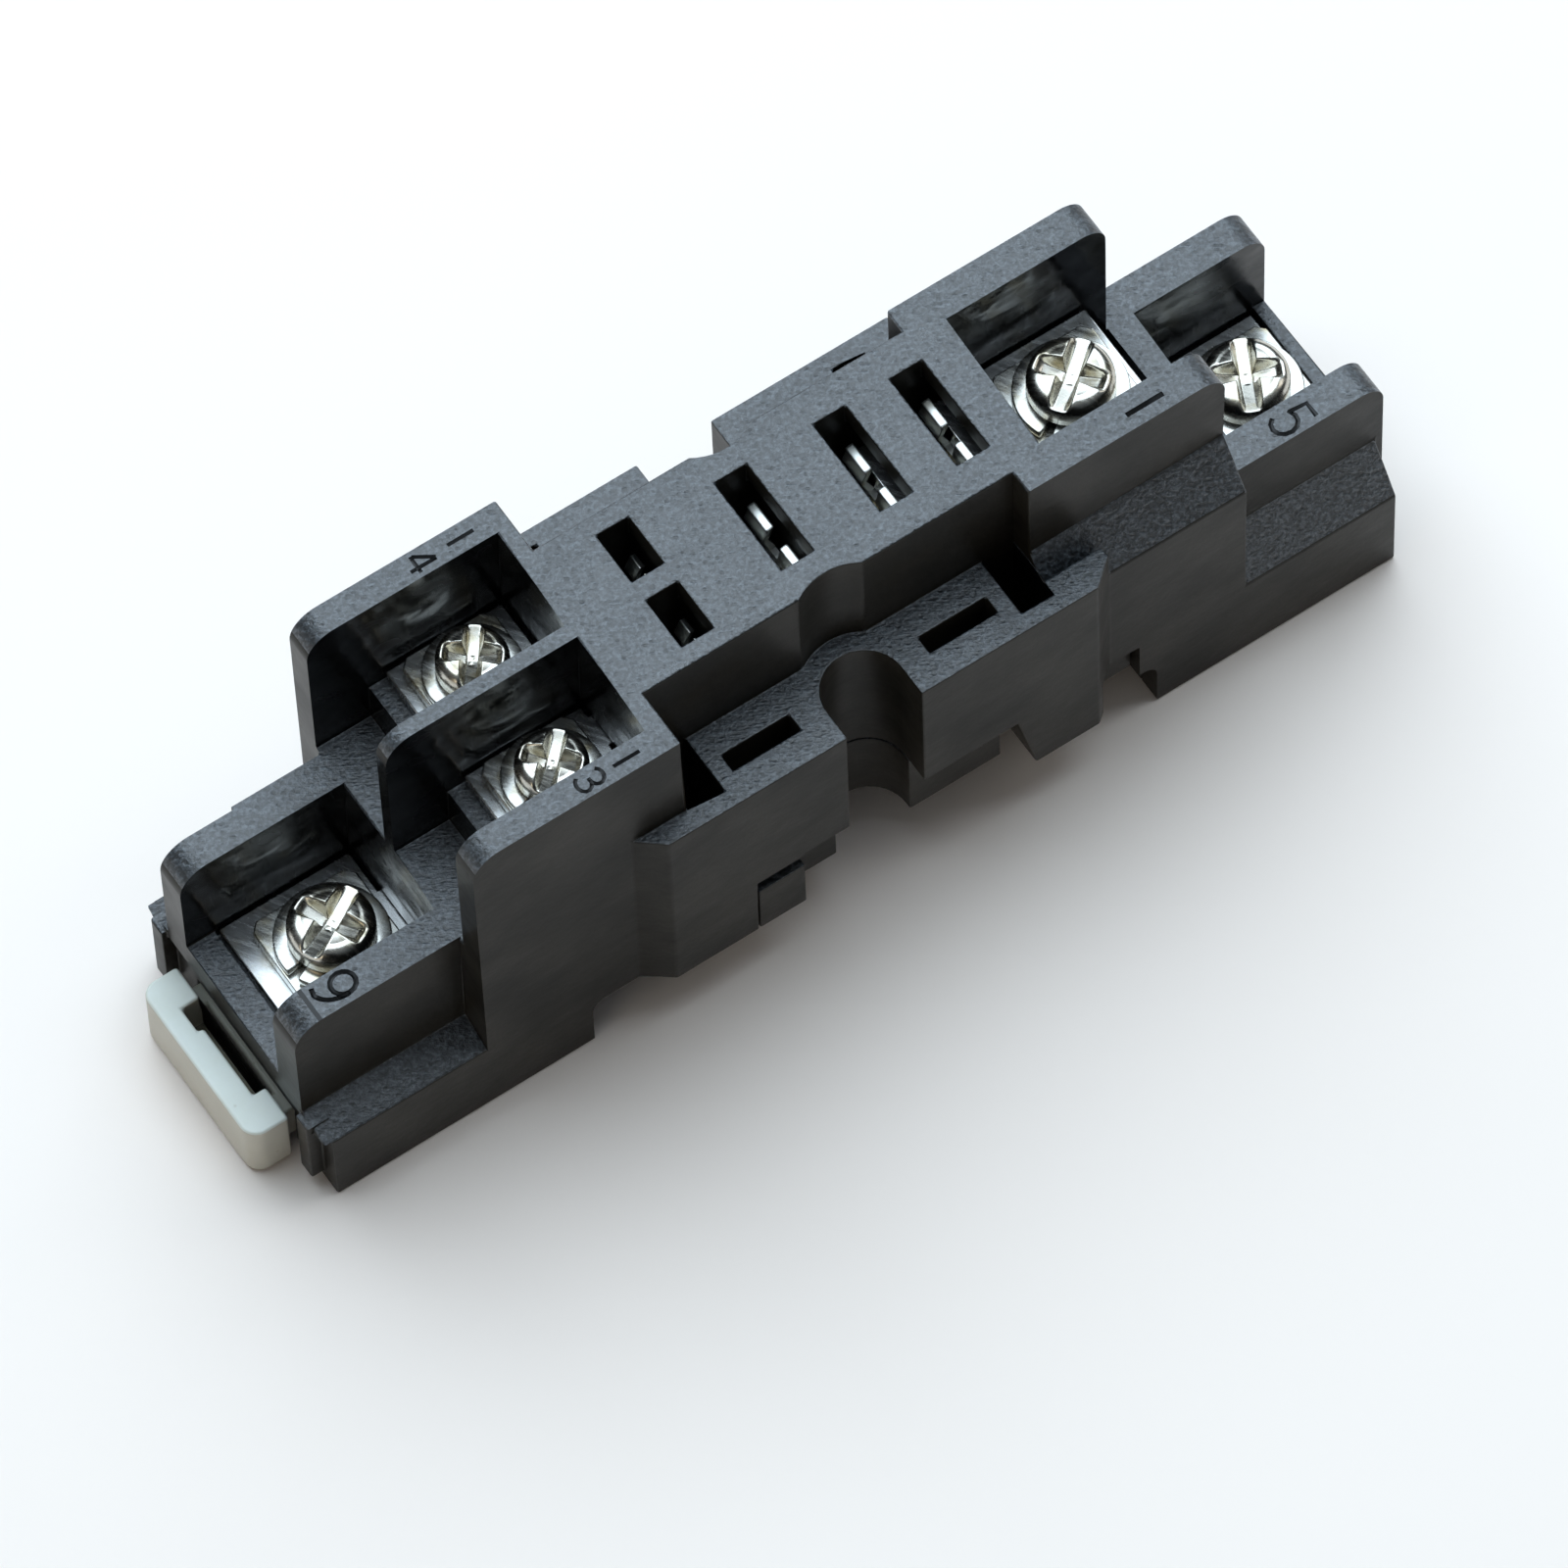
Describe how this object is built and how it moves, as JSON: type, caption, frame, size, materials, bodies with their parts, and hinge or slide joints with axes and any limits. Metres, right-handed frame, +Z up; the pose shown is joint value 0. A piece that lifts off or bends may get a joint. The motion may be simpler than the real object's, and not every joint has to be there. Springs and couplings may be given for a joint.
{
  "type": "relay socket",
  "caption": "Black rail-mount socket for a plug-in relay, with stepped screw terminals, blade slots in the top and a pull-out release slide.",
  "frame": {"origin": "centre of the rail seat, midway between the edges of a 35 mm rail", "axes": "+X along the socket towards terminal 5, away from the release slide; +Y across it; +Z up out of the rail, towards the relay"},
  "size_m": [0.0705, 0.0196, 0.0258],
  "materials": {
    "housing": "fine moulded grain",
    "base_cover": "fine moulded grain",
    "release_slide": "smooth moulded",
    "spring": "spring steel wire",
    "terminal": "bright tin plate over brass",
    "contact_clip": "bright plate",
    "rivet": "plain",
    "screw": "bright nickel plate",
    "washer": "bright nickel plate"
  },
  "bodies": {
    "base": {"housing": "housing", "base_cover": "base_cover", "slide_spring": "spring", "terminal_9": "terminal", "contact_clip_9": "contact_clip", "rivet_9": "rivet", "terminal_5": "terminal", "contact_clip_5": "contact_clip", "rivet_5": "rivet", "terminal_1": "terminal", "contact_clip_1": "contact_clip", "rivet_1": "rivet", "terminal_14": "terminal", "contact_clip_14": "contact_clip", "rivet_14": "rivet", "terminal_13": "terminal", "contact_clip_13": "contact_clip", "rivet_13": "rivet"},
    "clamp_9": {"square_washer_9": "washer", "spring_washer_9": "washer"},
    "screw_9": {"screw_9": "screw"},
    "clamp_5": {"square_washer_5": "washer", "spring_washer_5": "washer"},
    "screw_5": {"screw_5": "screw"},
    "clamp_1": {"square_washer_1": "washer", "spring_washer_1": "washer"},
    "screw_1": {"screw_1": "screw"},
    "clamp_14": {"square_washer_14": "washer", "spring_washer_14": "washer"},
    "screw_14": {"screw_14": "screw"},
    "clamp_13": {"square_washer_13": "washer", "spring_washer_13": "washer"},
    "screw_13": {"screw_13": "screw"},
    "slide": {"release_slide": "release_slide"}
  },
  "joints": [
    {"name": "clamp_9_lift", "type": "slide", "parent": "base", "child": "clamp_9", "axis": [0, 0, 1], "range_m": [0, 0.002]},
    {"name": "screw_9_turn", "type": "hinge", "parent": "clamp_9", "child": "screw_9", "pos_m": [-0.02805, 0, 0.005], "axis": [0, 0, 1], "range_deg": [0, 1442]},
    {"name": "clamp_5_lift", "type": "slide", "parent": "base", "child": "clamp_5", "axis": [0, 0, 1], "range_m": [0, 0.002]},
    {"name": "screw_5_turn", "type": "hinge", "parent": "clamp_5", "child": "screw_5", "pos_m": [0.0294, 0, 0.005], "axis": [0, 0, 1], "range_deg": [0, 1442]},
    {"name": "clamp_1_lift", "type": "slide", "parent": "base", "child": "clamp_1", "axis": [0, 0, 1], "range_m": [0, 0.002]},
    {"name": "screw_1_turn", "type": "hinge", "parent": "clamp_1", "child": "screw_1", "pos_m": [0.0183, 0, 0.016], "axis": [0, 0, 1], "range_deg": [0, 1442]},
    {"name": "clamp_14_lift", "type": "slide", "parent": "base", "child": "clamp_14", "axis": [0, 0, 1], "range_m": [0, 0.00198]},
    {"name": "screw_14_turn", "type": "hinge", "parent": "clamp_14", "child": "screw_14", "pos_m": [-0.01635, 0.0037, 0.016], "axis": [0, 0, 1], "range_deg": [0, 1586]},
    {"name": "clamp_13_lift", "type": "slide", "parent": "base", "child": "clamp_13", "axis": [0, 0, 1], "range_m": [0, 0.00198]},
    {"name": "screw_13_turn", "type": "hinge", "parent": "clamp_13", "child": "screw_13", "pos_m": [-0.01635, -0.0037, 0.016], "axis": [0, 0, 1], "range_deg": [0, 1586]},
    {"name": "release_slide_pull", "type": "slide", "parent": "base", "child": "slide", "axis": [-1, 0, 0], "range_m": [0, 0.003], "stiffness_N_per_m": 400, "springref_m": -0.001, "deforming": ["slide_spring"]}
  ],
  "couplings": [
    {"joint": "screw_9_turn", "follows": "clamp_9_lift", "rad_per_m": 12566},
    {"joint": "screw_5_turn", "follows": "clamp_5_lift", "rad_per_m": 12566},
    {"joint": "screw_1_turn", "follows": "clamp_1_lift", "rad_per_m": 12566},
    {"joint": "screw_14_turn", "follows": "clamp_14_lift", "rad_per_m": 13963},
    {"joint": "screw_13_turn", "follows": "clamp_13_lift", "rad_per_m": 13963}
  ]
}
